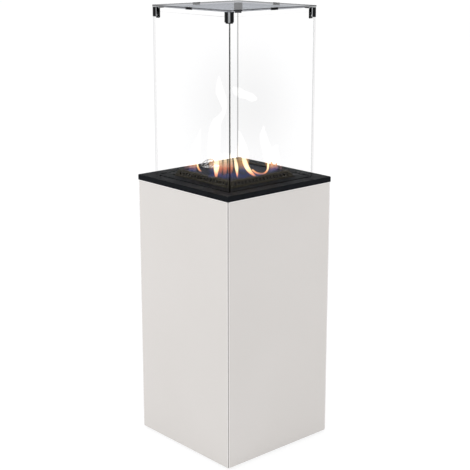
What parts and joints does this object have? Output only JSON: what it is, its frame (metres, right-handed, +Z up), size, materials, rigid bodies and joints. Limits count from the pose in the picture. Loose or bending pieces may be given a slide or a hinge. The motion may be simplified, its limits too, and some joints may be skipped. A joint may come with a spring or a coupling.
{
  "type": "patio gas heater",
  "caption": "Free-standing patio gas heater: a square column clad in cream glass, black top plate, slotted burner frame, four clear panes and a tinted glass lid.",
  "frame": {"origin": "on the floor under the middle of the column", "axes": "+Z up; the service door faces +Y; the two glass-clad sides shown in the picture face -Y and +X"},
  "size_m": [0.418, 0.418, 1.3508],
  "materials": {
    "cream_glass": "gloss",
    "cream_paint": "satin",
    "black_plate": "satin",
    "black_burner": "matte",
    "burner_steel": "satin",
    "clear_glass": "gloss",
    "smoked_glass": "gloss",
    "dark_chrome": "gloss",
    "silicone": "matte",
    "zinc_sheet": "satin",
    "zinc_fork": "satin",
    "wheel_rubber": "matte",
    "brass": "satin",
    "cast_metal": "satin",
    "probe_metal": "satin",
    "ceramic": "matte",
    "lead_jacket": "matte",
    "black_plastic": "satin",
    "red_plastic": "gloss",
    "cylinder_paint": "gloss",
    "hose_rubber": "matte",
    "webbing": "matte"
  },
  "bodies": {
    "root": {"base_pan": "zinc_sheet", "burner_box": "zinc_sheet", "burner_deck": "burner_steel", "burner_frame": "black_burner", "burner_manifold": "burner_steel", "castor_plates": "zinc_fork", "clad_glass_front": "cream_glass", "clad_glass_left": "cream_glass", "clad_glass_right": "cream_glass", "clad_tray_front": "zinc_sheet", "clad_tray_left": "zinc_sheet", "clad_tray_right": "zinc_sheet", "control_panel": "zinc_sheet", "corner_bracket_front_left": "dark_chrome", "corner_bracket_front_right": "dark_chrome", "corner_bracket_rear_left": "dark_chrome", "corner_bracket_rear_right": "dark_chrome", "corner_posts": "zinc_sheet", "cylinder_collar": "cylinder_paint", "cylinder_strap": "webbing", "cylinder_tap": "brass", "edge_clips": "dark_chrome", "electrode": "ceramic", "feed_pipe": "brass", "fixed_forks": "zinc_fork", "gas_cylinder": "cylinder_paint", "gas_hose": "hose_rubber", "gas_valve": "cast_metal", "glass_pads": "silicone", "heat_shield": "zinc_sheet", "igniter_body": "black_plastic", "ignition_lead": "lead_jacket", "injector": "brass", "lid_glass": "smoked_glass", "magnet_catch": "black_plastic", "mixer_tube": "burner_steel", "pane_front": "clear_glass", "pane_left": "clear_glass", "pane_rear": "clear_glass", "pane_right": "clear_glass", "pilot_hood": "burner_steel", "rear_surround": "cream_paint", "regulator": "cast_metal", "strap_rail": "zinc_sheet", "thermocouple": "probe_metal", "top_plate": "black_plate", "top_ring": "zinc_sheet"},
    "door": {"service_door": "cream_paint", "pivot_pins": "zinc_fork", "door_pull": "cream_paint"},
    "stem": {"valve_stem": "zinc_fork"},
    "knob": {"control_knob": "black_plastic"},
    "button": {"igniter_button": "red_plastic"},
    "handwheel": {"tap_handwheel": "red_plastic"},
    "swivel_right": {"swivel_fork_right": "zinc_fork"},
    "swivel_left": {"swivel_fork_left": "zinc_fork"},
    "wheel_front_right": {"castor_wheel_front_right": "wheel_rubber"},
    "wheel_front_left": {"castor_wheel_front_left": "wheel_rubber"},
    "wheel_rear_right": {"castor_wheel_rear_right": "wheel_rubber"},
    "wheel_rear_left": {"castor_wheel_rear_left": "wheel_rubber"}
  },
  "joints": [
    {"name": "door_hinge", "type": "hinge", "parent": "root", "child": "door", "pos_m": [-0.1645, 0.203, 0.415], "axis": [0, 0, 1], "range_deg": [0, 105]},
    {"name": "knob_turn", "type": "hinge", "parent": "root", "child": "stem", "pos_m": [0.076, 0.16, 0.65], "axis": [0, 1, 0], "range_deg": [0, 210]},
    {"name": "knob_push", "type": "slide", "parent": "stem", "child": "knob", "axis": [0, -1, 0], "range_m": [0, 0.005], "stiffness_N_per_m": 1200},
    {"name": "igniter_push", "type": "slide", "parent": "root", "child": "button", "axis": [0, -1, 0], "range_m": [0, 0.006], "stiffness_N_per_m": 1500},
    {"name": "tap_turn", "type": "hinge", "parent": "root", "child": "handwheel", "pos_m": [0, 0, 0.5], "axis": [0, 0, 1], "range_deg": [0, 540]},
    {"name": "castor_swivel_right", "type": "hinge", "parent": "root", "child": "swivel_right", "pos_m": [0.136, -0.136, 0.05], "axis": [0, 0, 1], "continuous": true},
    {"name": "castor_swivel_left", "type": "hinge", "parent": "root", "child": "swivel_left", "pos_m": [-0.136, -0.136, 0.05], "axis": [0, 0, 1], "continuous": true},
    {"name": "wheel_roll_front_right", "type": "hinge", "parent": "swivel_right", "child": "wheel_front_right", "pos_m": [0.136, -0.122, 0.02], "axis": [1, 0, 0], "continuous": true},
    {"name": "wheel_roll_rear_right", "type": "hinge", "parent": "root", "child": "wheel_rear_right", "pos_m": [0.136, 0.15, 0.02], "axis": [1, 0, 0], "continuous": true},
    {"name": "wheel_roll_front_left", "type": "hinge", "parent": "swivel_left", "child": "wheel_front_left", "pos_m": [-0.136, -0.122, 0.02], "axis": [1, 0, 0], "continuous": true},
    {"name": "wheel_roll_rear_left", "type": "hinge", "parent": "root", "child": "wheel_rear_left", "pos_m": [-0.136, 0.15, 0.02], "axis": [1, 0, 0], "continuous": true}
  ]
}
